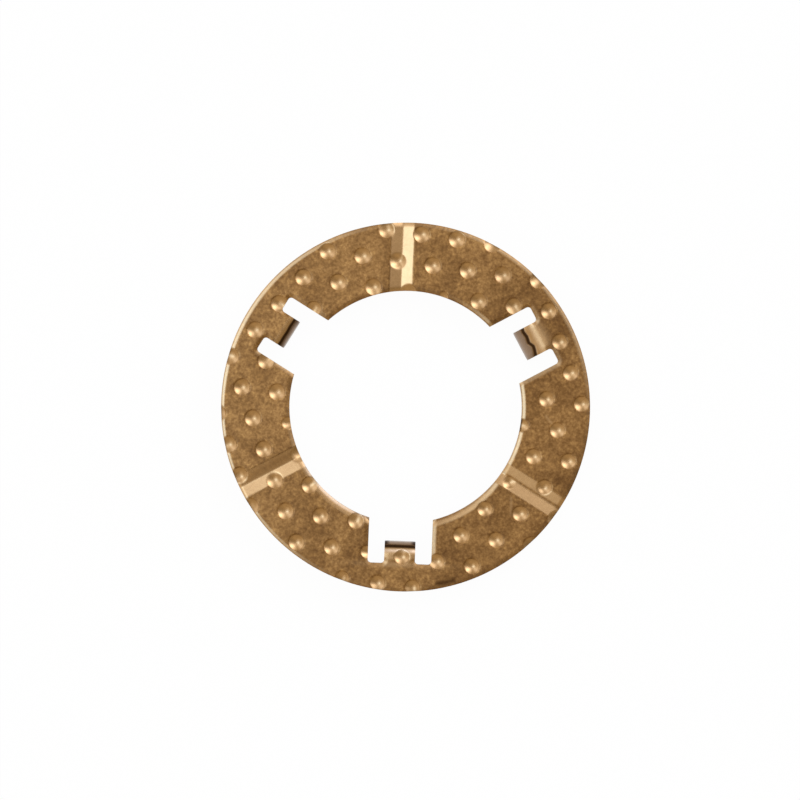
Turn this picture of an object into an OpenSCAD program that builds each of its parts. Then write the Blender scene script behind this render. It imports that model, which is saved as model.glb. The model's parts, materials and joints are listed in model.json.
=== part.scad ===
// Thrust washer: a flat bronze ring with ball indents and oil grooves in its running face,
// and locating tabs that are folded down from notches in the bore.
// Millimetres. The ring's axis is Z, its seat face lies at Z = 0 and its running face looks along +Z.

/* [Ring] */
// Outside diameter of the ring
outer_d = 66; // [62:0.5:80]
// Inside diameter of the ring
bore_d = 41.6; // [36:0.2:44]
// Thickness of the sheet
sheet_t = 1.5; // [1.2:0.1:2]
// Width of the rolled edge around the running face
roll_w = 0.6; // [0.3:0.05:0.7]
// Drop of the rolled edge below the running face
roll_h = 0.25; // [0.1:0.05:0.4]

/* [Notches] */
// Width of each notch in the bore
notch_w = 11.4; // [10:0.1:14]
// Width of the ring that is left outside each notch
rim_w = 4.95; // [3:0.05:6]
// Radius of the corners beside each tab's root
corner_r = 0.6; // [0.3:0.05:1]

/* [Tabs] */
// Width of each tab
tab_w = 5.5; // [4:0.1:7]
// Straight length of each tab between its root and its bend: front, right, left
tab_stub = [1, 0.05, 1.25]; // [0.05:0.05:1.5]
// Inside radius of each tab's bend: front, right, left
tab_bend_r = [0.8, 2.6, 0.5]; // [0.4:0.1:3]
// Reach of the tabs below the seat face
tab_drop = 4.3; // [3.5:0.1:6]

/* [Grooves] */
// Width of each groove at the running face
groove_w = 4.2; // [2:0.1:6]
// Depth of each groove along its middle
groove_h = 0.3; // [0.2:0.05:0.6]
// Offset of the grooves' meeting point from the ring's axis
groove_shift = [-1.72, 0.12]; // [-3:0.01:3]

/* [Indents] */
// Diameter of each indent at the running face
indent_d = 3; // [2:0.1:4]
// Depth of each indent
indent_h = 0.45; // [0.2:0.05:0.7]
// Distance between indents along a row
indent_pitch = 5.88; // [5:0.02:8]
// Distance between rows
row_gap = 5.63; // [5:0.01:8]
// Shift of each row along the one before it
row_shift = 2.89; // [0:0.01:4]
// Direction of the rows, in degrees from +X
row_angle = -68.3; // [-90:0.1:90]
// Place of the first indent, along and across its row
row_start = [1.39, 1.72]; // [0:0.01:6]
// How far past the ring's edges an indent's centre may lie
indent_over = 1.05; // [0:0.05:1.4]

/* [Hidden] */
$fn = 96;
bronze = [0.59, 0.44, 0.27];
tab_angles = [270, 30, 150];
groove_angles = [90, 210, 330];
ring_steps = 3;
slot_steps = 4;
past = 1; // how far a cut runs past the faces that it opens

outer_r = outer_d / 2;
bore_r = bore_d / 2;
floor_r = outer_r - rim_w;
tab_half = tab_w / 2;
notch_half = notch_w / 2;
slot_mid = (tab_half + notch_half) / 2;
corner_x = floor_r - corner_r;
slot_in_x = bore_r - notch_half;
indent_r = indent_d / 2;
indent_ball_r = (indent_r * indent_r + indent_h * indent_h) / (2 * indent_h);

// Rolled edge, from the wall to the flat face: distance in from the wall, and height
function roll_points(steps) = [
    for (k = [0 : steps])
    let (s = k / steps)
    [roll_w * s, sheet_t - roll_h * (1 - s) * (1 - s)]
];

function reversed(points) = [for (k = [len(points) - 1 : -1 : 0]) points[k]];

// Section of a strip of sheet whose two top edges are rolled, from wall lo to wall hi
function strip_section(lo, hi, steps) = concat(
    [[lo, 0], [hi, 0]],
    [for (p = roll_points(steps)) [hi - p.x, p.y]],
    reversed([for (p = roll_points(steps)) [lo + p.x, p.y]])
);

// Section of a cut through the sheet that leaves the wall hi with a rolled edge, and lo plain
function cut_section(lo, hi) = concat(
    [[lo, sheet_t + past], [lo, -past], [hi, -past]],
    [for (p = roll_points(slot_steps)) [hi + p.x, p.y]],
    [[hi + roll_w, sheet_t + past]]
);

// Quarter of a round cut, for the corner of a slot
module corner_cut(turn) {
    rotate([0, 0, turn])
    rotate_extrude(angle = 90)
    polygon(cut_section(0, corner_r));
}

// Run of a cut along Y, with its rolled wall on the +X side
module run_cut(lo, hi, from, to) {
    translate([0, to, 0])
    rotate([90, 0, 0])
    linear_extrude(height = to - from)
    polygon(cut_section(lo, hi));
}

// Slot between a tab and the side of its notch, on the +Y side of a tab that points along +X
module slot_cut() {
    run_cut(corner_x - past, floor_r, tab_half + corner_r, notch_half - corner_r);
    translate([0, slot_mid, 0]) {
        rotate([0, 0, 90])
        run_cut(-past / 2, notch_half - slot_mid, -corner_x, -slot_in_x);
        rotate([0, 0, -90])
        run_cut(-past / 2, slot_mid - tab_half, slot_in_x, corner_x);
    }
    translate([corner_x, notch_half - corner_r, 0])
    corner_cut(0);
    translate([corner_x, tab_half + corner_r, 0])
    corner_cut(-90);
}

// Both slots of a notch, and the room in front of its tab's bend
module notch_cut(bend_x) {
    slot_cut();
    mirror([0, 1, 0])
    slot_cut();
    translate([slot_in_x, -slot_mid, -past])
    cube([bend_x - slot_in_x, 2 * slot_mid, sheet_t + 2 * past]);
}

// Tab that points along +X: a straight run out of the root, a bend that turns down at bend_x, and a leg
module folded_tab(bend_x, inside_r) {
    section = strip_section(-tab_half, tab_half, slot_steps);
    axis_z = -inside_r;
    translate([bend_x, 0, 0])
    rotate([90, 0, 90])
    linear_extrude(height = corner_x - bend_x)
    polygon(section);
    translate([bend_x, 0, axis_z])
    rotate([90, 0, 0])
    rotate([0, 0, 90])
    rotate_extrude(angle = 90)
    polygon([for (p = section) [inside_r + p.y, p.x]]);
    translate([bend_x, 0, -tab_drop])
    linear_extrude(height = axis_z + tab_drop)
    polygon([for (p = section) [-inside_r - p.y, p.x]]);
}

// V groove that runs outwards along +X
module groove_cut() {
    top = groove_h + past;
    half = groove_w / 2 * top / groove_h;
    translate([slot_in_x, 0, sheet_t - groove_h])
    rotate([90, 0, 90])
    linear_extrude(height = outer_r)
    polygon([[0, 0], [half, top], [-half, top]]);
}

// Place of an indent in the ring's frame, from its place along and across the rows
function indent_place(along, across) = [
    along * cos(row_angle) - across * sin(row_angle),
    along * sin(row_angle) + across * cos(row_angle)
];

// Depth of the grooves at a place on the running face
function groove_depth(place) = max([
    for (angle = groove_angles)
    let (
        d = place - groove_shift,
        out = d.x * cos(angle) + d.y * sin(angle),
        aside = abs(d.y * cos(angle) - d.x * sin(angle))
    )
    out < 0 ? 0 : groove_h * max(0, 1 - 2 * aside / groove_w)
]);

// Balls that press the staggered rows of indents into the running face and the grooves
module indents() {
    reach = outer_r + indent_over;
    rows = ceil(reach / row_gap) + 1;
    columns = ceil((reach + rows * row_shift) / indent_pitch) + 1;
    for (i = [-rows : rows], j = [-columns : columns]) {
        along = row_start.x + i * row_shift + j * indent_pitch;
        across = row_start.y + i * row_gap;
        place = indent_place(along, across);
        r = norm(place);
        if (r > bore_r - indent_over && r < reach)
            translate([place.x, place.y, sheet_t - groove_depth(place) - indent_h + indent_ball_r])
            sphere(r = indent_ball_r);
    }
}

module thrust_washer() {
    color(bronze)
    difference() {
        union() {
            difference() {
                rotate_extrude()
                polygon(strip_section(bore_r, outer_r, ring_steps));
                for (k = [0 : len(tab_angles) - 1])
                    rotate([0, 0, tab_angles[k]])
                    notch_cut(corner_x - tab_stub[k]);
            }
            for (k = [0 : len(tab_angles) - 1])
                rotate([0, 0, tab_angles[k]])
                folded_tab(corner_x - tab_stub[k], tab_bend_r[k]);
        }
        translate([groove_shift.x, groove_shift.y, 0])
        for (angle = groove_angles)
            rotate([0, 0, angle])
            groove_cut();
        indents();
    }
}

thrust_washer();
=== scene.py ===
"""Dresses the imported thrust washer: a bronze ring with ball indents, oil grooves and folded tabs.

The sheet is one closed surface, worked out with numpy in millimetres and put into the mesh in metres.
It replaces the CAD node and lies in the same frame: Z is the ring's axis and the running face looks
along +Z.
"""
import json
import math

import bpy
import numpy as np
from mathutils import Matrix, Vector


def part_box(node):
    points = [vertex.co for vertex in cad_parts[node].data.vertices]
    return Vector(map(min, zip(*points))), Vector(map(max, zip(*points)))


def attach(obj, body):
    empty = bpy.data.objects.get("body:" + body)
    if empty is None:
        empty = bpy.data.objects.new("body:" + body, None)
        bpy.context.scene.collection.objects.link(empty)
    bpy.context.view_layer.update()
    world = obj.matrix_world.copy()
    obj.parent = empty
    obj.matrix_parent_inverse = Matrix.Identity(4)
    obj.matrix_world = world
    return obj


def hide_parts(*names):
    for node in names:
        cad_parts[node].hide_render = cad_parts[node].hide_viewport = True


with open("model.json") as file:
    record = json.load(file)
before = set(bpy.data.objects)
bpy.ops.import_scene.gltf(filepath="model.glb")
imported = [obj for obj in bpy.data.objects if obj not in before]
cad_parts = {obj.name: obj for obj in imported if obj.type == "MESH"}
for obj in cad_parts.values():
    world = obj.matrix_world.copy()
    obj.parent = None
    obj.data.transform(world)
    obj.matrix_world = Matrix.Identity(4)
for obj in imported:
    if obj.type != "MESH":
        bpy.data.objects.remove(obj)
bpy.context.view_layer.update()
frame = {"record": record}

# Sizes of the part in millimetres that the frame gives
MM = 0.001
lowest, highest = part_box("thrust_washer")
bore_mount = next(mount for mount in frame["record"]["mounts"] if mount["name"] == "bore")
OUTER_R = round(highest.x / MM, 2)
SHEET_T = round(highest.z / MM, 2)
TAB_DROP = round(-lowest.z / MM, 2)
BORE_R = bore_mount["dims"]["r_mm"]

# Sizes of the part in millimetres, as in its source
NOTCH_HALF = 5.7
TAB_HALF = 2.75
FLOOR_X = 28.05
CORNER_R = 0.6
CORNER_X = FLOOR_X - CORNER_R
TAB_ANGLES = (270.0, 30.0, 150.0)
TAB_PITCH = 120.0
GROOVE_ANGLES = (90.0, 210.0, 330.0)
GROOVE_W = 4.2
GROOVE_H = 0.3
GROOVE_SHIFT = (-1.72, 0.12)
INDENT_PITCH = 5.88
ROW_GAP = 5.63
ROW_SHIFT = 2.89
ROW_ANGLE = -68.3
ROW_START = (1.39, 1.72)

# Ball indents in millimetres, a little softer than the source's: radius, depth, power of the bowl's curve,
# soft width of the rim, reach of the rim and of the bowl's clean metal in radii, and the width over which
# that metal starts
INDENT_R = 1.45
INDENT_H = 0.43
INDENT_POWER = 2.05
RIM_SOFT = 0.045
RIM_REACH = 1.4
BOWL_REACH = 1.02
BOWL_EDGE = 0.2
# Rows on each side of the first one, and places on each side along a row, that are tried
ROWS_TRIED = 8
PLACES_TRIED = 12
# How far past the bore, the outside edge and a slot's edge an indent's centre may lie, in millimetres
PAST_BORE = 1.05
PAST_EDGE = 0.7
PAST_SLOT = 0.6
# Scatter of the indents' depths, the share that their size loses towards +X and -Y, where that starts and
# over what length it grows, and the weak indents: place and size
DEPTH_SCATTER = 0.05
SIDE_SHRINK = 0.07
SIDE_START = -5.0
SIDE_SPAN = 30.0
WEAK_INDENTS = ((-5.9, -26.2, 0.75), (-17.0, 16.9, 0.9), (-20.9, -3.7, 0.75), (6.0, 20.0, 0.6),
                (21.0, -2.5, 0.8), (-10.0, -31.0, 0.85), (19.0, -12.8, 0.78))

# Rolled edges in millimetres: width and drop at the outside, around the bore and at the tabs' tips, the extra
# width of the bore's towards -Y, the power of their curve, and the most that two inner ones add up to
OUTER_ROLL = (0.78, 0.115)
INNER_ROLL = (0.8, 0.135)
TIP_ROLL = (0.4, 0.1)
FRONT_ROLL = 0.5
ROLL_POWER = 1.6
ROLL_MOST = 1.6

# From here on, a pair named SIDE or FROM says where a mark starts and over what span it grows

# Front of the ring, by the cosine to -Y
FRONT_SIDE = (0.45, 0.4)
# Angle in degrees about which the outer roll is slimmer, the cosine to it, and the share that is lost there
SLIM_TURN = 230.0
SLIM_SIDE = (0.3, 0.5)
SLIM_SHARE = 0.25
# Wear and painted highlight of the edges by the way they face: the least share, which is wear all round, and
# for each lit side its angle in degrees, the cosine to it at which the painted highlight starts, the span
# over which it grows, and its share of the rest
LEAST_WEAR = 0.15
LIT_SIDES = ((175.0, 0.25, 0.5, 1.0), (45.0, 0.72, 0.25, 0.45))
# Part of a roll next to its wall, and the share of paleness that is lost there
WALL_FROM = (0.62, 0.25)
WALL_LOSS = 0.65
# Wear and painted highlight of the bore's edge and what it loses at the front, the same for the slots' edges
# and the share of it that is lost on the notches' floors, which are known by the cosine to the outside
BORE_WEAR_AND_SHEEN = 0.88
FRONT_LOSS = 0.4
SLOT_WEAR_AND_SHEEN = 0.7
FLOOR_LOSS = 0.8
FLOOR_SIDE = (0.5, 0.4)
# Rubbed slope of the bore's roll at the front: share, part of the roll over which it grows, part at which it
# ends, and the span of that end
SLOPE = (0.55, 0.25, 0.85, 0.3)
# Painted shade: dark share of the indents that the outside edge cuts, for the shade of their cut walls
EDGE_SHADE = 0.6

# Other marks of the stamping in millimetres: soft width of the grooves' valleys, depth at which their metal
# is clean, depth of the tear in the cut walls and the length over which it fades out, height of the sheet's
# wave, and depth of the scratches
VALLEY_SOFT = 0.05
GROOVE_EDGE = 0.03
FRACTURE_IN = 0.035
WALL_FADE = 0.4
WAVE_H = 0.004
SCRATCH_H = 0.005
# Cut walls, by the share of their height: the tear, the dull zone and its wander, and the worn band at the
# top. Then the tear's mean, scatter and limits, as shares of its depth
TEAR_FROM = (0.4, 0.15)
DULL_FROM = (0.36, 0.12)
DULL_WANDER = 0.05
WORN_BAND = 0.12
TEAR_MEAN = 0.65
TEAR_SCATTER = 0.35
TEAR_LIMITS = (0.1, 1.4)

# Tabs in millimetres, front, right and left: the straight length before the bend, the bend's inside radius,
# the distance from the axis at which indents start, the dark line across the bend, a sunk crack whose dark
# colour is partly residue and partly painted shade (distance from the axis, half width, depth, share of the
# crack's wander), the darkening behind it (share all along, share at both ends), the rubbed bend (share,
# distance from the axis at which it starts, length over which it grows), and the painted highlight along the
# crest (share, distance from the axis, half width)
TABS = (
    dict(stub=1.0, inside=0.8, indents=24.5, line=(24.93, 0.24, 0.03, 0.0), stain_and_shade=(0.2, 0.9),
         rub=(0.8, 27.7, 0.8), crest_highlight=(1.0, 25.68, 0.33)),
    dict(stub=0.05, inside=2.6, indents=27.3, line=(25.0, 0.29, 0.09, 1.0), stain_and_shade=(0.35, 0.1),
         rub=(0.95, 28.2, 1.2), crest_highlight=(0.25, 26.05, 0.5)),
    dict(stub=1.25, inside=0.5, indents=27.0, line=(25.09, 0.24, 0.02, 0.2), stain_and_shade=(1.0, 0.2),
         rub=(0.9, 26.4, 0.6), crest_highlight=(0.0, 25.7, 0.3)),
)
TAB_INDENTS = {angle: tab["indents"] for angle, tab in zip(TAB_ANGLES, TABS)}
# Wander of the crack: distance aside from the tab's middle, and the line's shift there
CRACK_Y = (-2.75, -1.8, -1.0, -0.1, 1.0, 2.1, 2.75)
CRACK_X = (-0.18, 0.12, 0.26, -0.18, 0.0, -0.16, -0.06)
# Reach of a line in half widths, lengths over which the painted shade on the leg behind it starts and the
# darkening behind it fades, and the darkening of its ends, by the distance aside
LINE_REACH = 1.6
LEG_SHADE_SPAN = 0.1
DARKENING_FADE = 0.45
ENDS_FROM = (1.7, 0.8)
# Margin along a tab's sides that has no indents, by the distance aside, the lengths over which the margin,
# the indents and the weaker side rolls start, and the share that those rolls lose
MARGIN_FROM = (1.9, 0.25)
MARGIN_SPAN = 0.4
INDENTS_SPAN = 0.5
WEAKER_SPAN = 0.5
WEAKER_SHARE = 0.5
# Least wear and painted highlight of a tab's sides and the length of its root over which it grows, the share
# of the crest's painted highlight that is lost in an indent, and the length over which the bend's rougher
# metal starts
TAB_WEAR_AND_SHEEN = 0.1
TAB_WEAR_AND_SHEEN_SPAN = 0.4
CREST_HIGHLIGHT_LOSS = 0.6
PRESSED_SPAN = 0.4

# Scratches and stains on the running face in millimetres: both ends, half width and share. The last stain is
# a broad tarnish
SCRATCHES = ((19.5, -15.5, 19.6, -18.5, 0.35, 0.35), (25.1, -0.6, 26.5, -2.2, 0.35, 0.35))
STAINS = ((6.9, -31.35, 9.8, -30.65, 0.75, 0.75), (20.76, -1.5, 20.54, -3.3, 0.45, 1.0),
          (16.0, 22.0, 24.0, 12.0, 8.0, 0.15))
# Patches rubbed bare at the tabs' roots: angle, distance from the axis, depth, width and share
RUBBED = ((30.0, 27.1, 1.2, 3.0, 1.0), (270.0, 28.2, 0.5, 7.0, 0.45))
# Painted highlight: a glint put into the colour of the bore's edge: angle in degrees, cosine to it, share,
# and part of the roll
GLINT_TURN = 232.0
GLINT_SIDE = (0.9, 0.1)
GLINT_SHARE = 0.75
GLINT_FROM = (0.5, 0.3)
# Dark lines at the grooves' edges and tarnish along their slopes: angle, distance aside, half width and
# share
EDGE_LINES = ((90.0, 2.1, 0.15, 0.35), (210.0, -2.1, 0.15, 0.3))
VALLEY_LINES = ((330.0, 0.2, 0.45, 1.0), (210.0, -1.05, 1.4, 0.45))

# Where a land's wall turns into the floor of its notch, halfway round the corner
HALF_TURN = CORNER_R * math.sqrt(0.5)
TURN_X = CORNER_X + HALF_TURN
TURN_Y = NOTCH_HALF - CORNER_R + HALF_TURN
LAND_R = math.hypot(TURN_X, TURN_Y)
ROOT_Y = TAB_HALF + CORNER_R - HALF_TURN

# Numbers of cells along and across the sheet
LAND_CELLS = 250
ROLL_CELLS = 6
FLOOR_CELLS = 10
TURN_CELLS = 3
TAB_CELLS = 34
RIM_ROWS = 23
LAND_ROWS = 38
BACK_ROWS = 3
BACK_STRIDE = 12
# Share of a land's and a tab's width that has finer cells, at each side
FINE_LAND = 0.019
FINE_TAB = 0.19
# Lengths in millimetres of the cells along a tab's straight run, bend and leg
STUB_STEP = 0.15
BEND_STEP = 0.1
LEG_STEP = 0.2

SEED = 11
chance = np.random.default_rng(SEED)


def turned(x, y, degrees):
    """A point turned about the axis by an angle."""
    c, s = math.cos(math.radians(degrees)), math.sin(math.radians(degrees))
    return x * c - y * s, x * s + y * c


def eased(value):
    """Smooth step from 0 to 1: 3 v^2 - 2 v^3 with v held between 0 and 1."""
    v = np.clip(value, 0.0, 1.0)
    return v * v * (3.0 - 2.0 * v)


def risen(value, start, span):
    """Smooth step of a value: 0 up to a start and 1 from a span past it."""
    return eased((value - start) / span)


def waves(count, finest):
    """Seeded sine waves: wave numbers along both axes from random directions and lengths, and phases."""
    turn = chance.uniform(0.0, 2.0 * np.pi, count)
    length = finest * chance.uniform(1.0, 4.0, count)
    phase = chance.uniform(0.0, 2.0 * np.pi, count)
    return 2.0 * np.pi * np.cos(turn) / length, 2.0 * np.pi * np.sin(turn) / length, phase


def ripple(u, v, set_of_waves):
    """Smooth noise about -1 to 1: the sum of the waves' sines over the root of their number."""
    along, across, phase = set_of_waves
    arg = np.multiply.outer(u, along) + np.multiply.outer(v, across) + phase
    return np.sin(arg).sum(-1) / math.sqrt(phase.size)


FACE_WAVES = waves(18, 4.0)
# Step in millimetres for the direction in which the nearest slot lies
PROBE = 0.01


def slot_gap(x, y):
    """Distance from the slots of a tab that points along +X: that of a box with rounded corners,
    the length of the part outside the inner box, plus the depth inside it, less the corner's radius."""
    inner = BORE_R / 2.0
    qx = np.abs(x - (inner + FLOOR_X) / 2.0) - (FLOOR_X - inner) / 2.0 + CORNER_R
    qy = np.abs(np.abs(y) - (TAB_HALF + NOTCH_HALF) / 2.0) - (NOTCH_HALF - TAB_HALF) / 2.0 + CORNER_R
    outside = np.hypot(np.maximum(qx, 0.0), np.maximum(qy, 0.0))
    return outside + np.minimum(np.maximum(qx, qy), 0.0) - CORNER_R


def notch_gap(x, y):
    """Distance from the nearest slot of the three notches."""
    return np.min([slot_gap(*turned(x, y, -angle)) for angle in TAB_ANGLES], axis=0)


def indent_places():
    """Centres of the staggered rows: start + i * shift + j * pitch along, start + i * gap across, turned.
    Their sizes are 1, less towards +X and -Y by a smooth step, and those named on the weak ones."""
    rows = np.arange(-ROWS_TRIED, ROWS_TRIED + 1)
    places = np.arange(-PLACES_TRIED, PLACES_TRIED + 1)
    i, j = np.meshgrid(rows, places, indexing="ij")
    along = ROW_START[0] + i * ROW_SHIFT + j * INDENT_PITCH
    across = ROW_START[1] + i * ROW_GAP
    x, y = turned(along.ravel(), across.ravel(), ROW_ANGLE)
    r = np.hypot(x, y)
    near = (r > BORE_R - PAST_BORE) & (r < OUTER_R + PAST_EDGE)
    near &= notch_gap(x, y) > -PAST_SLOT
    size = 1.0 - SIDE_SHRINK * risen(x - y, SIDE_START, SIDE_SPAN)
    for weak_x, weak_y, share in WEAK_INDENTS:
        size[np.hypot(x - weak_x, y - weak_y).argmin()] = share
    return x[near], y[near], size[near]


INDENT_X, INDENT_Y, INDENT_SIZE = indent_places()
INDENT_DEEP = 1.0 + DEPTH_SCATTER * chance.standard_normal(INDENT_X.size)


def indent_depth(x, y):
    """Depth of the nearest indent: the cap c = h (1 - (d / r)^p) by the distance d from its middle, close to
    a ball's, and then (c + root of (c^2 + s^2)) / 2, which rounds its rim over a soft width s. Also gives
    the share of the bowl: 1 inside, 0 from its rim outwards."""
    d = np.hypot(np.subtract.outer(x, INDENT_X), np.subtract.outer(y, INDENT_Y))
    k = d.argmin(-1)
    d = np.take_along_axis(d, k[..., None], -1)[..., 0]
    size = INDENT_SIZE[k]
    reach = RIM_REACH * INDENT_R * size
    deep = INDENT_H * INDENT_DEEP[k] * size
    cap = deep * (1.0 - (np.minimum(d, reach) / (INDENT_R * size)) ** INDENT_POWER)
    depth = 0.5 * (cap + np.sqrt(cap ** 2 + RIM_SOFT ** 2))
    return np.where(d < reach, depth, 0.0), eased((INDENT_R * size * BOWL_REACH - d) / BOWL_EDGE)


def groove_depth(x, y):
    """Depth of the V grooves: 1 - distance from the middle over half the width, where that is above 0, with
    the distance's root of squares rounding the valley. Also gives the share of their clean metal."""
    depth = np.zeros_like(x)
    for angle in GROOVE_ANGLES:
        out, aside = turned(x - GROOVE_SHIFT[0], y - GROOVE_SHIFT[1], -angle)
        aside = np.sqrt(aside ** 2 + VALLEY_SOFT ** 2)
        v = np.where(out > 0.0, 1.0 - 2.0 * aside / GROOVE_W, 0.0)
        depth = np.maximum(depth, GROOVE_H * np.maximum(v, 0.0))
    return depth, eased(depth / GROOVE_EDGE)


def streaked(x, y, streaks):
    """Share of straight marks: theirs on each line, falling to 0 at its half width from the segment."""
    share = np.zeros_like(x)
    for x0, y0, x1, y1, half, most in streaks:
        dx, dy = x1 - x0, y1 - y0
        t = np.clip(((x - x0) * dx + (y - y0) * dy) / (dx * dx + dy * dy), 0.0, 1.0)
        share = np.maximum(share, most * eased(1.0 - np.hypot(x - x0 - t * dx, y - y0 - t * dy) / half))
    return share


def rubbed_roots(x, y):
    """Share of the patches rubbed bare at the tabs' roots: bell curves outwards and across."""
    share = np.zeros_like(x)
    for angle, middle, depth, width, most in RUBBED:
        out, aside = turned(x, y, -angle)
        bell = np.exp(-((out - middle) / depth) ** 2 - (aside / width) ** 2)
        share = np.maximum(share, most * bell)
    return share


def groove_lines(x, y, lines):
    """Share of lines along the grooves: 1 less the distance aside over the half width, eased."""
    share = np.zeros_like(x)
    for angle, middle, half, most in lines:
        out, aside = turned(x - GROOVE_SHIFT[0], y - GROOVE_SHIFT[1], -angle)
        share = np.maximum(share, most * eased(1.0 - np.abs(aside - middle) / half) * (out > 0.0))
    return share


def wear_and_sheen_by_facing(nx, ny):
    """Share of wear and painted highlight by the way an edge faces: the least one, which is wear, and a
    painted highlight that grows to the left and the upper right, each a smooth step of the cosine to that
    direction."""
    sides = [most * risen(turned(nx, ny, -turn)[0], start, span) for turn, start, span, most in LIT_SIDES]
    return LEAST_WEAR + (1.0 - LEAST_WEAR) * np.max(sides, axis=0)


def edge_paleness(share):
    """Paleness of a rolled edge: the root of its share, less at the very edge."""
    return np.sqrt(share) * (1.0 - WALL_LOSS * risen(share, *WALL_FROM))


def rolled(gap, width):
    """Share of a rolled edge at a distance from its wall: 1 at the wall, 0 where the roll ends."""
    return np.clip(1.0 - gap / width, 0.0, 1.0)


def running_face(x, y, tab=None):
    """Height of the running face: the sheet's thickness and a faint wave, less the rolled edges, grooves
    and indents. The bore's roll is wider towards -Y, and its slope there is rubbed bare. The outer roll is
    slimmer on one side. Where an indent lies in a groove, the lesser depth counts half. On a tab only the
    slots' rolls count, and the indents away from its sides."""
    r = np.hypot(x, y)
    gap = notch_gap(x, y)
    gx, gy = notch_gap(x + PROBE, y) - gap, notch_gap(x, y + PROBE) - gap
    facing = np.maximum(np.hypot(gx, gy), 1e-9)
    side = rolled(gap, INNER_ROLL[0])
    front = risen(-y / r, *FRONT_SIDE)
    wider = 1.0 + FRONT_ROLL / INNER_ROLL[0] * front
    slim = 1.0 - SLIM_SHARE * risen(turned(x, y, -SLIM_TURN)[0] / r, *SLIM_SIDE)
    indent, bowl = indent_depth(x, y)
    if tab is not None:
        outer = bore = groove = cut = np.zeros_like(x)
        out, aside = turned(x, y, -tab)
        keep = 1.0 - risen(np.abs(aside), *MARGIN_FROM) * eased((CORNER_X - out) / MARGIN_SPAN)
        keep = keep * risen(out, TAB_INDENTS[tab], INDENTS_SPAN)
        side = side * (1.0 - WEAKER_SHARE * eased((CORNER_X - out) / WEAKER_SPAN))
        indent, bowl = indent * keep, bowl * keep
    else:
        outer = rolled(OUTER_R - r, OUTER_ROLL[0] * slim)
        bore = rolled(r - BORE_R, INNER_ROLL[0] * wider)
        groove, cut = groove_depth(x, y)
        cut = cut * (1.0 - groove_lines(x, y, VALLEY_LINES))
    inner = np.minimum(side ** ROLL_POWER + wider * bore ** ROLL_POWER, ROLL_MOST)
    drop = OUTER_ROLL[1] * slim * outer ** ROLL_POWER + INNER_ROLL[1] * inner
    pressed = np.maximum(groove, indent) + 0.5 * np.minimum(groove, indent)
    scratch = streaked(x, y, SCRATCHES)
    pressed = pressed + SCRATCH_H * scratch
    # Painted highlight: a glint in the colour of the bore's edge
    glint = risen(turned(x, y, -GLINT_TURN)[0] / r, *GLINT_SIDE) * risen(bore, *GLINT_FROM)
    slope_share, slope_grows, slope_end, slope_fades = SLOPE
    slope = slope_share * front * eased(bore / slope_grows) * eased((slope_end - bore) / slope_fades)
    # Pale edges: some wear all round, and a painted highlight on the sides that face the lights
    worn = edge_paleness(outer) * wear_and_sheen_by_facing(x / r, y / r)
    worn = np.maximum(worn, (BORE_WEAR_AND_SHEEN - FRONT_LOSS * front) * edge_paleness(bore) * wear_and_sheen_by_facing(-x / r, -y / r))
    floor = risen((gx * x + gy * y) / (facing * r), *FLOOR_SIDE)
    slot = SLOT_WEAR_AND_SHEEN * side * (1.0 - FLOOR_LOSS * floor)
    worn = np.maximum(worn, slot * wear_and_sheen_by_facing(-gx / facing, -gy / facing))
    # Real stains, and painted shade where the outside edge cuts the indents
    dark = np.maximum(streaked(x, y, STAINS), EDGE_SHADE * bowl * outer ** 2)
    # Dark lines along two grooves' edges
    if tab is None:
        dark = np.maximum(dark, groove_lines(x, y, EDGE_LINES) * (1.0 - bowl))
    marks = {
        "bare": np.max([bowl, cut, slope, scratch, rubbed_roots(x, y)], axis=0),
        "worn": worn,
        "bright": GLINT_SHARE * glint,
        "stain_and_shade": dark,
        "pressed": bowl,
    }
    wave = WAVE_H * ripple(x, y, FACE_WAVES) * (1.0 - np.maximum(outer, np.maximum(side, bore)))
    return SHEET_T + wave - drop - pressed, marks


def stepped(cells, ends, share):
    """Steps from 0 to 1 with finer cells over a share of the length at each end that is named."""
    lo = share if "lo" in ends else 0.0
    hi = share if "hi" in ends else 0.0
    steps = [np.linspace(lo, 1.0 - hi, cells + 1)]
    if lo:
        steps.insert(0, np.linspace(0.0, lo, ROLL_CELLS + 1)[:-1])
    if hi:
        steps.append(np.linspace(1.0 - hi, 1.0, ROLL_CELLS + 1)[1:])
    return np.concatenate(steps)


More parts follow.
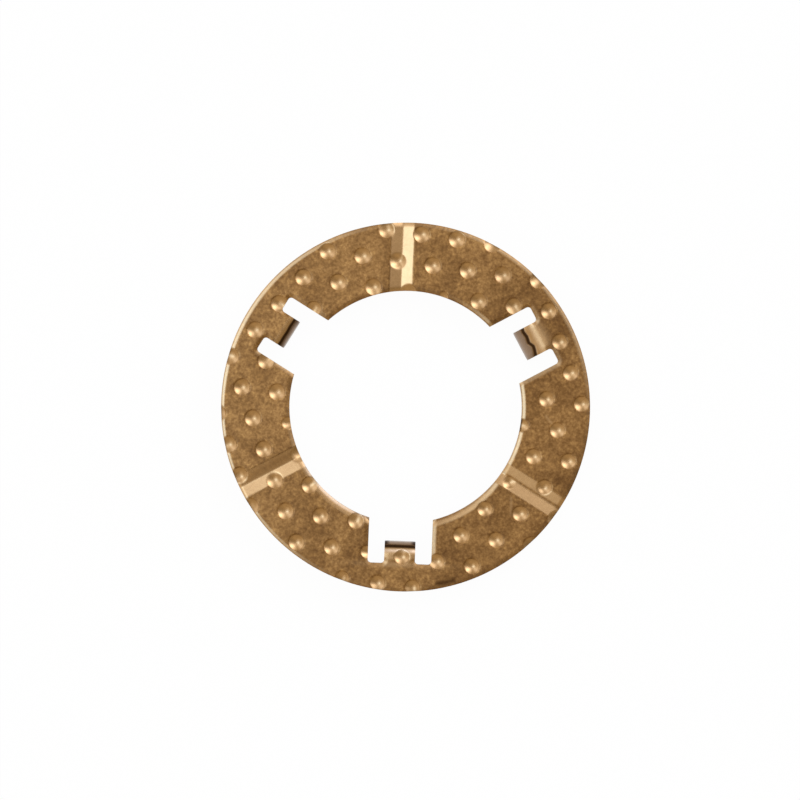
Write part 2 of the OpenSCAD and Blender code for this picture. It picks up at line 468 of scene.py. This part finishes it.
class Sheet:
    """Gathers grids of points, with their marks, into one welded mesh of triangles."""

    names = ("bare", "worn", "skin", "stain_and_shade", "bright", "pressed", "fracture")

    def __init__(self):
        self.points, self.marks, self.faces, self.kinds = [], [], [], []
        self.size = 0

    def grid(self, x, y, z, kind, flip, **marks):
        """Adds a grid whose cells are two triangles each, turned round where flip is true."""
        shape = np.broadcast(x, y, z).shape
        ids = self.size + np.arange(shape[0] * shape[1]).reshape(shape)
        a, b, c, d = ids[:-1, :-1], ids[1:, :-1], ids[1:, 1:], ids[:-1, 1:]
        first = np.stack([a, b, c], -1).reshape(-1, 3)
        second = np.stack([a, c, d], -1).reshape(-1, 3)
        faces = np.concatenate([first, second])
        self.faces.append(faces[:, ::-1] if flip else faces)
        self.kinds.append(np.full(len(faces), kind))
        xyz = np.stack([np.broadcast_to(v, shape).ravel() for v in (x, y, z)], -1)
        self.points.append(xyz)
        held = [np.broadcast_to(marks.get(n, 0.0), shape).ravel() for n in self.names]
        self.marks.append(np.stack(held, -1))
        self.size += len(xyz)

    def welded(self):
        """Merges points that round to the same tenth of a micrometre and drops the faces that collapse."""
        points, faces = np.concatenate(self.points), np.concatenate(self.faces)
        key = np.round(points, 4)
        _, first, same = np.unique(key, axis=0, return_index=True, return_inverse=True)
        faces = same.ravel()[faces]
        whole = (faces[:, 0] != faces[:, 1]) & (faces[:, 1] != faces[:, 2]) & (faces[:, 2] != faces[:, 0])
        marks = np.concatenate(self.marks)[first]
        return points[first], faces[whole], np.concatenate(self.kinds)[whole], marks


# Finishes by number, steps down a cut wall as shares of its height, and the waves of its tear
FACE, CUT, BACK = 0, 1, 2
WALL_STEPS = np.array([0.0, 0.163, 0.381, 0.503, 0.617, 0.821, 1.0])[:, None]
TEAR_WAVES = waves(14, 0.35)
ZONE_WAVES = waves(9, 1.2)
sheet = Sheet()


def wall(top, bottom, inward):
    """Sheared wall between two edges: straight down from the face, burnished over its upper part, then
    torn back by a little that varies along it, and out again to the back's edge. The tear fades out at
    both ends, where walls meet. The grid is turned round where its own normal looks inward."""
    top, bottom = np.stack(np.broadcast_arrays(*top)), np.stack(np.broadcast_arrays(*bottom))
    run = np.append(0.0, np.cumsum(np.linalg.norm(np.diff(top, axis=1), axis=0)))
    ends = eased(run / WALL_FADE) * eased((run[-1] - run) / WALL_FADE)
    torn = risen(WALL_STEPS, *TEAR_FROM) * eased((1.0 - WALL_STEPS) / TEAR_FROM[1])
    rough = ripple(run + 0.0 * WALL_STEPS, SHEET_T * WALL_STEPS + 0.0 * run, TEAR_WAVES)
    back = FRACTURE_IN * torn * ends * np.clip(TEAR_MEAN + TEAR_SCATTER * rough, *TEAR_LIMITS)
    x, y, z = (t + (b - t) * WALL_STEPS + back * n for t, b, n in zip(top, bottom, inward))
    along = np.gradient(top, axis=1)
    facing = sum(n * inside for n, inside in zip(np.cross(bottom - top, along, axis=0), inward))
    zone = risen(WALL_STEPS + DULL_WANDER * ripple(run, 0.0 * run, ZONE_WAVES), *DULL_FROM)
    edge = eased((WORN_BAND - WALL_STEPS) / WORN_BAND)
    sheet.grid(x, y, z, CUT, facing.sum() > 0.0, fracture=zone, worn=edge)


def land_turn(r):
    """Angle from a tab's middle to the wall of its notch at a radius: that of the straight wall,
    asin(half width / r), and near the floor that of the rounded corner, from the cosine rule."""
    straight = np.arcsin(np.minimum(NOTCH_HALF / r, 1.0))
    mid_y = NOTCH_HALF - CORNER_R
    mid_r = math.hypot(CORNER_X, mid_y)
    cosine = (r ** 2 + mid_r ** 2 - CORNER_R ** 2) / (2.0 * r * mid_r)
    corner = math.atan2(mid_y, CORNER_X) + np.arccos(np.clip(cosine, -1.0, 1.0))
    return np.where(r < math.hypot(CORNER_X, NOTCH_HALF), straight, corner)


LAND_STEPS = stepped(LAND_CELLS, "lo hi", FINE_LAND)
TAB_STEPS = stepped(TAB_CELLS - 2 * ROLL_CELLS, "lo hi", FINE_TAB)


def notch_edge():
    """Points along the floor of a notch from its lower corner's middle to its upper one, in the tab's frame:
    an eighth turn at each corner, straight floors, and the straight line across the tab's root."""
    eighth = np.linspace(0.25, 0.0, TURN_CELLS + 1) * np.pi
    outer_x = CORNER_X + CORNER_R * np.cos(eighth)
    outer_y = NOTCH_HALF - CORNER_R + CORNER_R * np.sin(eighth)
    root_y = TAB_HALF + CORNER_R - CORNER_R * np.sin(eighth[::-1])
    floor_y = np.linspace(NOTCH_HALF - CORNER_R, TAB_HALF + CORNER_R, FLOOR_CELLS + 1)[1:-1]
    half_x = np.concatenate([outer_x, np.full(floor_y.size, FLOOR_X), outer_x[::-1]])
    half_y = np.concatenate([outer_y, floor_y, root_y])
    tab_y = ROOT_Y * (2.0 * TAB_STEPS[1:-1] - 1.0)
    x = np.concatenate([half_x, np.full(tab_y.size, TURN_X), half_x[::-1]])
    y = np.concatenate([-half_y, tab_y, half_y[::-1]])
    return x, y, half_x.size


def rim():
    """Rim of the ring: radial lines from the notches' floors and the lands' outer arc to the outside edge."""
    floor_x, floor_y, half = notch_edge()
    turn = land_turn(np.array(LAND_R))
    inner_r, inner_a = [], []
    for angle in TAB_ANGLES:
        start = math.radians(angle)
        inner_r += [np.hypot(floor_x, floor_y), np.full(LAND_STEPS.size - 2, LAND_R)]
        span = math.radians(TAB_PITCH) - 2.0 * turn
        inner_a += [start + np.arctan2(floor_y, floor_x), start + turn + span * LAND_STEPS[1:-1]]
    inner_r, inner_a = np.concatenate(inner_r), np.concatenate(inner_a)
    inner_r, inner_a = np.append(inner_r, inner_r[0]), np.append(inner_a, inner_a[0])
    steps = stepped(RIM_ROWS, "hi", OUTER_ROLL[0] / (OUTER_R - LAND_R))[:, None]
    r = inner_r + (OUTER_R - inner_r) * steps
    x, y = r * np.cos(inner_a), r * np.sin(inner_a)
    z, marks = running_face(x, y)
    sheet.grid(x, y, z, FACE, False, **marks)
    low = np.linspace(0.0, 1.0, BACK_ROWS)[:, None]
    r = inner_r + (OUTER_R - inner_r) * low
    bx, by = r * np.cos(inner_a), r * np.sin(inner_a)
    sheet.grid(bx, by, 0.0, BACK, True)
    wall((x[-1], y[-1], z[-1]), (bx[-1], by[-1], 0.0), (-np.cos(inner_a), -np.sin(inner_a), 0.0))
    stride = floor_x.size + LAND_STEPS.size - 2
    for k, angle in enumerate(TAB_ANGLES):
        out_x, out_y = turned(1.0, 0.0, angle)
        for first in (k * stride, k * stride + floor_x.size - half):
            span = slice(first, first + half)
            wall((x[0, span], y[0, span], z[0, span]), (bx[0, span], by[0, span], 0.0), (out_x, out_y, 0.0))


def land(angle):
    """Land between two tabs: circles about the axis from the bore to the rim, each from wall to wall."""
    steps = stepped(LAND_ROWS, "lo", INNER_ROLL[0] / (LAND_R - BORE_R))
    r = (BORE_R + (LAND_R - BORE_R) * steps)[:, None]
    turn = land_turn(r)
    a = math.radians(angle) + turn + (math.radians(TAB_PITCH) - 2.0 * turn) * LAND_STEPS
    x, y = r * np.cos(a), r * np.sin(a)
    z, marks = running_face(x, y)
    sheet.grid(x, y, z, FACE, False, **marks)
    rows = np.unique(np.append(np.arange(0, steps.size, BACK_STRIDE), steps.size - np.arange(1, 4)))
    sheet.grid(x[rows], y[rows], 0.0, BACK, True)
    wall((x[0], y[0], z[0]), (x[0], y[0], 0.0), (np.cos(a[0]), np.sin(a[0]), 0.0))
    nearest = rows[np.abs(np.subtract.outer(np.arange(steps.size), rows)).argmin(-1)]
    for column, tab_angle, sense in ((0, angle, 1.0), (-1, angle + TAB_PITCH, -1.0)):
        in_x, in_y = turned(0.0, sense, tab_angle)
        top = (x[:, column], y[:, column], z[:, column])
        wall(top, (x[nearest, column], y[nearest, column], 0.0), (in_x, in_y, 0.0))


def folded_tab(angle, stub, inside, line, stain_and_shade, rub, crest_highlight, **_):
    """Tab: a strip whose length is laid flat, turned about the bend's axis by length over bend radius, and
    carried straight down past a quarter turn. Heights over the strip's back go along the turned normal.
    A dark line crosses the bend, sunk by its depth, coloured partly as residue and partly as painted shade,
    with darkening behind it that fades towards the tip. Past the line the leg has a grey-brown painted shade,
    and the crest a painted highlight."""
    bend_x = CORNER_X - stub
    bend_r = inside + SHEET_T
    quarter = bend_r * np.pi / 2.0
    leg = TAB_DROP - inside
    root = np.linspace(TURN_X, CORNER_X, TURN_CELLS + 1)[:-1]
    flat = np.linspace(CORNER_X, bend_x, max(2, round(stub / STUB_STEP) + 1))
    bend = bend_x - np.linspace(0.0, quarter, round(quarter / BEND_STEP) + 1)[1:]
    down = bend[-1] - np.linspace(0.0, leg, round(leg / LEG_STEP) + 1)[1:]
    x = np.concatenate([root, flat, bend, down])[:, None]
    reach = np.maximum(x - CORNER_X, 0.0)
    half = TAB_HALF + CORNER_R - np.sqrt(CORNER_R ** 2 - reach ** 2)
    y = half * (2.0 * TAB_STEPS - 1.0)
    x = x + 0.0 * y
    h, marks = running_face(*turned(x, y, angle), tab=angle)
    s = bend_x - x
    turn = np.clip(s / bend_r, 0.0, np.pi / 2.0)
    h = h - TIP_ROLL[1] * rolled(s.max() - s, TIP_ROLL[0]) ** 2
    seen_x = bend_x - bend_r * np.sin(turn)
    line_x, line_half, line_deep, wander = line
    path = line_x + wander * np.interp(y, CRACK_Y, CRACK_X)
    # Dark line across the bend: a sunk crack, its colour partly residue and partly painted shade
    black = eased((LINE_REACH * line_half - np.abs(seen_x - path)) / line_half) * (s > 0.0) * (s < quarter)
    h = h - line_deep * black
    past = eased((path - line_half - seen_x) / LEG_SHADE_SPAN)
    behind = stain_and_shade[0] * np.exp(np.minimum(seen_x - path, 0.0) / DARKENING_FADE)
    behind = behind + stain_and_shade[1] * risen(np.abs(y), *ENDS_FROM)
    marks["bare"] = np.maximum(marks["bare"], rub[0] * eased((rub[1] - x) / rub[2])) * (1.0 - past)
    worn = TAB_WEAR_AND_SHEEN + (1.0 - TAB_WEAR_AND_SHEEN) * risen(x, CORNER_X, TAB_WEAR_AND_SHEEN_SPAN)
    marks["worn"] = marks["worn"] * (1.0 - past) * worn
    # Painted highlight along the bend's crest, weaker in an indent
    painted_crest = crest_highlight[0] * np.exp(-((seen_x - crest_highlight[1]) / crest_highlight[2]) ** 2) * (s > 0.0)
    marks["bright"] = painted_crest * (1.0 - CREST_HIGHLIGHT_LOSS * indent_depth(*turned(x, y, angle))[1])
    marks["stain_and_shade"] = np.maximum(black, past * behind)
    marks["pressed"] = np.maximum(marks["pressed"], eased(s / PRESSED_SPAN) * (1.0 - past))
    over = np.maximum(s - quarter, 0.0)

    def place(height):
        """Points at a height over the strip's back."""
        turned_x = np.where(s < 0.0, x, bend_x - (inside + height) * np.sin(turn))
        z = np.where(s < 0.0, height, (inside + height) * np.cos(turn) - inside - over)
        return (*turned(turned_x, y, angle), z)

    top, low = place(h), place(0.0 * h)
    # Painted shade: past the line the leg gets a grey-brown tone for the shade it shows
    sheet.grid(*top, FACE, True, skin=past, **marks)
    sheet.grid(*low, BACK, False)
    for column, sense in ((0, 1.0), (-1, -1.0)):
        in_x, in_y = turned(0.0, sense, angle)
        wall([v[:, column] for v in top], [v[:, column] for v in low], (in_x, in_y, 0.0))
    wall([v[-1] for v in top], [v[-1] for v in low], (0.0, 0.0, 1.0))


rim()
for tab_angle in TAB_ANGLES:
    land(tab_angle)
for tab_angle, tab in zip(TAB_ANGLES, TABS):
    folded_tab(tab_angle, **tab)
points, faces, kinds, marks = sheet.welded()

# Angle in degrees between faces from which an edge shows as sharp
SHARP_TURN = 38.0
mesh = bpy.data.meshes.new("bronze_sheet")
mesh.from_pydata(points * MM, [], faces)
mesh.polygons.foreach_set("material_index", kinds.astype(np.int32))
mesh.polygons.foreach_set("use_smooth", np.ones(len(faces), bool))
for name, values in zip(Sheet.names, marks.T):
    attribute = mesh.attributes.new(name, "FLOAT", "POINT")
    attribute.data.foreach_set("value", np.clip(values, 0.0, 1.0).astype(np.float32))
mesh.set_sharp_from_angle(angle=math.radians(SHARP_TURN))
mesh.update()
washer = bpy.data.objects.new("bronze_sheet", mesh)
bpy.context.scene.collection.objects.link(washer)
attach(washer, "root")
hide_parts("thrust_washer")


def put(tree, kind, sockets=None, **settings):
    """Adds a node, sets its values, and sets or links its inputs."""
    made = tree.nodes.new(kind)
    for name, value in settings.items():
        setattr(made, name, value)
    for name, value in (sockets or {}).items():
        if isinstance(value, bpy.types.NodeSocket):
            tree.links.new(value, made.inputs[name])
        else:
            made.inputs[name].default_value = value
    return made


def maths(tree, operation, *values):
    """One step of arithmetic."""
    return put(tree, "ShaderNodeMath", dict(enumerate(values)), operation=operation).outputs[0]


def vectors(tree, operation, *values):
    """One step of arithmetic on vectors or colours."""
    return put(tree, "ShaderNodeVectorMath", dict(enumerate(values)), operation=operation).outputs


def ranged(tree, value, low, high, to_low=0.0, to_high=1.0):
    """A value moved from one range to another and held inside it."""
    sockets = {"Value": value, "From Min": low, "From Max": high, "To Min": to_low, "To Max": to_high}
    return put(tree, "ShaderNodeMapRange", sockets).outputs[0]


def blended(tree, share, first, second):
    """Two colours mixed by a share of the second."""
    return put(tree, "ShaderNodeMix", {0: share, 6: first, 7: second}, data_type="RGBA").outputs[2]


def noise(tree, place, size, detail=3.0, roughness=0.5, warp=0.0):
    """Noise whose cells are a size in millimetres."""
    sockets = {"Vector": place, "Scale": 1.0 / (size * MM), "Detail": detail}
    sockets.update({"Roughness": roughness, "Distortion": warp})
    return put(tree, "ShaderNodeTexNoise", sockets).outputs[0]


def bumped(tree, height, strength, depth):
    """Normal of a fine relief whose depth is in millimetres."""
    sockets = {"Strength": strength, "Distance": depth * MM, "Height": height}
    return put(tree, "ShaderNodeBump", sockets).outputs[0]


def mark(tree, name):
    """One of the sheet's own marks."""
    return put(tree, "ShaderNodeAttribute", attribute_name=name).outputs["Fac"]


def group(name, inputs, outputs):
    """An empty node group with named values and colours going in and out."""
    tree = bpy.data.node_groups.new(name, "ShaderNodeTree")
    for label, kind, value in inputs:
        socket = tree.interface.new_socket(label, in_out="INPUT", socket_type=kind)
        socket.default_value = value
    for label, kind in outputs:
        tree.interface.new_socket(label, in_out="OUTPUT", socket_type=kind)
    return tree, put(tree, "NodeGroupInput").outputs, put(tree, "NodeGroupOutput")


FLOAT, COLOUR = "NodeSocketFloat", "NodeSocketColor"

# Colours of the bronze: the tarnish's two tints and its specks, clean pressed metal, the edges' wear and
# painted highlight, painted highlights on the glints and crests, the grey-brown painted shade on the legs
# past the lines on the tabs, and dark residue and painted shade
GOLD = (0.268, 0.132, 0.0365, 1.0)
BROWN = (0.196, 0.0905, 0.0212, 1.0)
SPECK = (0.11, 0.045, 0.012, 1.0)
BARE = (0.475, 0.28, 0.113, 1.0)
PALE_WEAR_AND_SHEEN = (0.58, 0.408, 0.22, 1.0)
PAINTED_HIGHLIGHT = (0.66, 0.49, 0.34, 1.0)
LEG_SHADE_TINT = (0.3, 0.192, 0.113, 1.0)
DARK_STAIN_AND_SHADE = (0.028, 0.01, 0.003, 1.0)
# How much more of each colour the lighter grains have
PALER = (1.0, 1.18, 1.55)
# Painted light: change of brightness across the ring, per metre along X and Y
PAINTED_LEAN = (-1.7, 1.4, 0.0)
# Sizes in millimetres of the tarnish's clouds, mottle, grain and specks, and the shares of mottle and grain
CLOUD_SIZE = 9.0
MOTTLE_SIZE = 2.2
GRAIN_SIZE = 0.55
SPECK_SIZE = 0.9
MOTTLE_SHARE = 1.1
GRAIN_SHARE = 1.6


def make_patina():
    """Tarnish of rolled bronze: slow clouds between two tints, and small dark specks. Mottle, finer grain and
    a painted lean of light across the ring add up to a change c, and each colour is multiplied by
    1 + (c + c^2 / 2) times how much more of it the lighter grains have."""
    tree, given, out = group(
        "bronze_patina",
        [("Gold", COLOUR, GOLD), ("Brown", COLOUR, BROWN), ("Grain", FLOAT, 1.0), ("Specks", FLOAT, 0.5)],
        [("Color", COLOUR), ("Cloud", FLOAT), ("Height", FLOAT)],
    )
    place = put(tree, "ShaderNodeTexCoord").outputs["Object"]
    cloud = noise(tree, place, CLOUD_SIZE, 3.0, 0.6, 0.5)
    mottle = noise(tree, place, MOTTLE_SIZE, 2.0, 0.8, 0.3)
    grain = noise(tree, place, GRAIN_SIZE, 1.5, 0.9)
    tint = blended(tree, ranged(tree, cloud, 0.4, 0.6), given["Brown"], given["Gold"])
    both = maths(tree, "MULTIPLY_ADD", mottle, MOTTLE_SHARE, maths(tree, "MULTIPLY", grain, GRAIN_SHARE))
    middle = 0.5 * (MOTTLE_SHARE + GRAIN_SHARE)
    # Painted light: brightness leans across the ring as the light falls
    painted_lean = vectors(tree, "DOT_PRODUCT", place, PAINTED_LEAN)["Value"]
    change = maths(tree, "ADD", maths(tree, "SUBTRACT", both, middle), painted_lean)
    change = maths(tree, "MULTIPLY", change, given["Grain"])
    change = maths(tree, "MULTIPLY_ADD", maths(tree, "MULTIPLY", change, change), 0.5, change)
    shade = vectors(tree, "MULTIPLY_ADD", change, PALER, (1.0, 1.0, 1.0))[0]
    tint = vectors(tree, "MULTIPLY", tint, shade)[0]
    speck = ranged(tree, noise(tree, place, SPECK_SIZE, 2.0, 0.5), 0.64, 0.76)
    tint = blended(tree, maths(tree, "MULTIPLY", speck, given["Specks"]), tint, SPECK)
    tree.links.new(tint, out.inputs["Color"])
    tree.links.new(cloud, out.inputs["Cloud"])
    tree.links.new(both, out.inputs["Height"])
    return tree


def make_drag():
    """Fine lines that the shear leaves down a cut wall: noise drawn out along the ring's axis."""
    tree, given, out = group("shear_drag", [("Depth", FLOAT, 0.5)], [("Lines", FLOAT)])
    place = put(tree, "ShaderNodeTexCoord").outputs["Object"]
    place = put(tree, "ShaderNodeMapping", {"Vector": place, "Scale": (1.0, 1.0, 0.12)}).outputs[0]
    lines = noise(tree, place, 0.22, 3.0, 0.6)
    lines = maths(tree, "MULTIPLY", maths(tree, "SUBTRACT", lines, 0.5), given["Depth"])
    tree.links.new(lines, out.inputs["Lines"])
    return tree


patina, drag = make_patina(), make_drag()


def bronze(name):
    """An empty material with its Principled shader."""
    made = bpy.data.materials.new(name)
    made.use_nodes = True
    tree = made.node_tree
    return made, tree, tree.nodes["Principled BSDF"]


def worn_face():
    """Running face: tarnished flats, clean pressed metal in the indents and grooves, pale edges of wear and
    painted highlight, painted highlights on glints and crests, grey-brown painted shade on the folded legs,
    and dark residue with painted shade in the lines across the bends."""
    made, tree, shader = bronze("running_face")
    coat = put(tree, "ShaderNodeGroup", {"Grain": 1.0, "Specks": 0.25}, node_tree=patina)
    clean_tints = {"Gold": BARE, "Brown": BARE, "Grain": 0.14, "Specks": 0.0}
    soft = put(tree, "ShaderNodeGroup", clean_tints, node_tree=patina)
    bare, worn, skin = mark(tree, "bare"), mark(tree, "worn"), mark(tree, "skin")
    stain_and_shade, bright, pressed = mark(tree, "stain_and_shade"), mark(tree, "bright"), mark(tree, "pressed")
    # Pale edges: wear, and a painted highlight on the sides that face the lights
    colour = blended(tree, worn, coat.outputs["Color"], PALE_WEAR_AND_SHEEN)
    colour = blended(tree, bare, colour, soft.outputs["Color"])
    # Painted shade: grey-brown tone on the folded legs
    colour = blended(tree, skin, colour, LEG_SHADE_TINT)
    # Painted highlights: the glint on the bore's edge and the tabs' crests
    colour = blended(tree, bright, colour, PAINTED_HIGHLIGHT)
    # Dark marks: real stains and residue, with painted shade where the edge cuts indents and in the tabs'
    # lines
    colour = blended(tree, maths(tree, "MULTIPLY", stain_and_shade, 0.95), colour, DARK_STAIN_AND_SHADE)
    tree.links.new(colour, shader.inputs["Base Color"])
    clean = maths(tree, "MAXIMUM", bare, worn)
    rough = ranged(tree, coat.outputs["Cloud"], 0.3, 0.7, 0.27, 0.34)
    for share, rougher in ((clean, -0.09), (pressed, 0.05), (skin, 0.1), (stain_and_shade, 0.2)):
        rough = maths(tree, "MULTIPLY_ADD", share, rougher, rough)
    tree.links.new(rough, shader.inputs["Roughness"])
    weight = maths(tree, "MULTIPLY_ADD", clean, 0.65, 0.35)
    weight = maths(tree, "MULTIPLY", weight, maths(tree, "SUBTRACT", 1.0, stain_and_shade))
    tree.links.new(weight, shader.inputs["Coat Weight"])
    tree.links.new(bumped(tree, coat.outputs["Height"], 0.4, 0.01), shader.inputs["Normal"])
    shader.inputs["Metallic"].default_value = 1.0
    shader.inputs["Coat Roughness"].default_value = 0.2
    return made


def sheared_wall():
    """Cut walls: burnished above, torn and duller below, with drag lines down them."""
    made, tree, shader = bronze("sheared_wall")
    coat = put(tree, "ShaderNodeGroup", {"Grain": 1.0, "Specks": 0.3}, node_tree=patina)
    lines = put(tree, "ShaderNodeGroup", {"Depth": 0.8}, node_tree=drag).outputs["Lines"]
    torn, worn = mark(tree, "fracture"), mark(tree, "worn")
    clean = blended(tree, 0.6, coat.outputs["Color"], BARE)
    colour = blended(tree, torn, clean, coat.outputs["Color"])
    colour = blended(tree, maths(tree, "MULTIPLY", worn, 0.5), colour, PALE_WEAR_AND_SHEEN)
    tree.links.new(colour, shader.inputs["Base Color"])
    rough = maths(tree, "MULTIPLY_ADD", torn, 0.2, 0.28)
    tree.links.new(maths(tree, "MULTIPLY_ADD", lines, 0.2, rough), shader.inputs["Roughness"])
    height = maths(tree, "MULTIPLY_ADD", coat.outputs["Height"], torn, lines)
    tree.links.new(bumped(tree, height, 0.6, 0.03), shader.inputs["Normal"])
    shader.inputs["Metallic"].default_value = 1.0
    return made


def plain_back():
    """Back of the sheet: rolled bronze with an even tarnish."""
    made, tree, shader = bronze("plain_back")
    coat = put(tree, "ShaderNodeGroup", {"Grain": 0.8, "Specks": 0.4}, node_tree=patina)
    tree.links.new(coat.outputs["Color"], shader.inputs["Base Color"])
    rough = ranged(tree, coat.outputs["Cloud"], 0.3, 0.7, 0.3, 0.42)
    tree.links.new(rough, shader.inputs["Roughness"])
    tree.links.new(bumped(tree, coat.outputs["Height"], 0.5, 0.02), shader.inputs["Normal"])
    shader.inputs["Metallic"].default_value = 1.0
    return made


for finish in (worn_face(), sheared_wall(), plain_back()):
    mesh.materials.append(finish)

# Ground: half its width in metres, its cells, its paint, and the share of plain white where it is seen
GROUND_HALF = 5.0
GROUND_CELLS = 8
GROUND_PAINT = (0.85, 0.85, 0.85, 1.0)
GROUND_GLOW = 0.97


def pale_floor():
    """White floor under the tabs: it shows as white and keeps a little of the washer's shadow."""
    step = np.linspace(-GROUND_HALF, GROUND_HALF, GROUND_CELLS + 1)
    x, y = (v.ravel() for v in np.meshgrid(step, step, indexing="ij"))
    ids = np.arange(step.size ** 2).reshape(step.size, step.size)
    quads = np.stack([ids[:-1, :-1], ids[1:, :-1], ids[1:, 1:], ids[:-1, 1:]], -1).reshape(-1, 4)
    ground = bpy.data.meshes.new("floor")
    ground.from_pydata(np.stack([x, y, np.full(x.size, -TAB_DROP * MM)], -1), [], quads)
    floor = bpy.data.objects.new("floor", ground)
    bpy.context.scene.collection.objects.link(floor)
    made = bpy.data.materials.new("floor")
    made.use_nodes = True
    tree = made.node_tree
    tree.nodes.clear()
    path = put(tree, "ShaderNodeLightPath").outputs
    seen = maths(tree, "MAXIMUM", path["Is Camera Ray"], path["Is Glossy Ray"])
    seen = maths(tree, "MAXIMUM", seen, path["Is Transmission Ray"])
    paint = put(tree, "ShaderNodeBsdfDiffuse", {"Color": GROUND_PAINT}).outputs[0]
    glow = put(tree, "ShaderNodeEmission", {"Strength": 1.0}).outputs[0]
    share = maths(tree, "MULTIPLY", seen, GROUND_GLOW)
    both = put(tree, "ShaderNodeMixShader", {0: share, 1: paint, 2: glow}).outputs[0]
    put(tree, "ShaderNodeOutputMaterial", {"Surface": both})
    ground.materials.append(made)


pale_floor()

# Dim warm room: its tint, its brightness by height from the horizon up, and how it grows towards -X
ROOM_TINT = (1.15, 0.96, 0.64)
ROOM_LEVELS = ((0.0, 0.1), (0.3, 0.35), (0.6, 0.53), (1.0, 0.385))
ROOM_TILT = -0.32
# Soft lights of the studio: azimuth from +X, elevation and spread in degrees, brightness, and tint
COOL, CLEAR, PALE, PLAIN = (0.7, 1.15, 1.7), (0.86, 1.0, 1.27), (0.92, 1.0, 1.18), (1.0, 1.0, 1.0)
SOFT_LIGHTS = (
    (178.0, 74.0, 6.0, 1.9, COOL),
    (160.0, 77.0, 10.5, 1.15, PALE),
    (148.0, 63.0, 9.0, 0.3, PALE),
    (143.0, 45.0, 11.5, 1.2, CLEAR),
    (35.0, 35.0, 13.0, 3.8, PALE),
    (55.0, 53.0, 12.5, 1.95, PALE),
    (184.0, 8.0, 16.0, 1.9, CLEAR),
    (232.0, 64.0, 8.0, 0.55, PLAIN),
    (290.0, 50.0, 13.0, 0.2, ROOM_TINT),
)


def direction(azimuth, elevation):
    """Unit vector towards an azimuth from +X and an elevation."""
    a, e = math.radians(azimuth), math.radians(elevation)
    return Vector((math.cos(e) * math.cos(a), math.cos(e) * math.sin(a), math.sin(e)))


def studio():
    """World: the room's level by height and side, plus soft lights whose brightness falls off with the
    angle t from their middle as exp(-(1 - cos t) / spread^2)."""
    world = bpy.data.worlds.new("studio")
    bpy.context.scene.world = world
    world.use_nodes = True
    tree = world.node_tree
    tree.nodes.clear()
    place = put(tree, "ShaderNodeTexCoord").outputs["Generated"]
    split = put(tree, "ShaderNodeSeparateXYZ", {0: place}).outputs
    ramp = put(tree, "ShaderNodeValToRGB", {0: split[2]})
    while len(ramp.color_ramp.elements) < len(ROOM_LEVELS):
        ramp.color_ramp.elements.new(0.5)
    for element, (position, level) in zip(ramp.color_ramp.elements, ROOM_LEVELS):
        element.position = position
        element.color = (*(level * channel for channel in ROOM_TINT), 1.0)
    total = vectors(tree, "SCALE", ramp.outputs[0])[0]
    tree.links.new(maths(tree, "MULTIPLY_ADD", split[0], ROOM_TILT, 1.0), total.node.inputs["Scale"])
    for azimuth, elevation, spread, brightness, tint in SOFT_LIGHTS:
        sharp = math.radians(spread) ** -2
        towards = vectors(tree, "DOT_PRODUCT", place, direction(azimuth, elevation))["Value"]
        fall = maths(tree, "EXPONENT", maths(tree, "MULTIPLY_ADD", towards, sharp, -sharp))
        total = vectors(tree, "MULTIPLY_ADD", fall, [brightness * channel for channel in tint], total)[0]
    glow = put(tree, "ShaderNodeBackground", {"Color": total, "Strength": 1.0}).outputs[0]
    put(tree, "ShaderNodeOutputWorld", {"Surface": glow})


studio()

# Camera straight above the ring, turned as in the photo: the picture's width and its dots per millimetre, the
# camera's height over the running face, the width of its view and the shift of its middle in millimetres, and
# its turn in degrees
IMAGE_WIDTH = 800.0
DOTS_PER_MM = 5.592
VIEW_HEIGHT = 700.0
VIEW_WIDTH = IMAGE_WIDTH / DOTS_PER_MM
VIEW_SHIFT = (-1.0, 1.26)
VIEW_TURN = 2.3
camera = bpy.data.cameras.new("camera")
camera.sensor_width = 36.0
camera.lens = camera.sensor_width * VIEW_HEIGHT / VIEW_WIDTH
camera.clip_start = 0.01
viewer = bpy.data.objects.new("camera", camera)
view_x, view_y = turned(*VIEW_SHIFT, VIEW_TURN)
viewer.location = (view_x * MM, view_y * MM, (VIEW_HEIGHT + SHEET_T) * MM)
viewer.rotation_euler = (0.0, 0.0, math.radians(VIEW_TURN))
bpy.context.scene.collection.objects.link(viewer)
bpy.context.scene.camera = viewer
bpy.context.scene.view_settings.view_transform = "Standard"

bpy.context.view_layer.update()
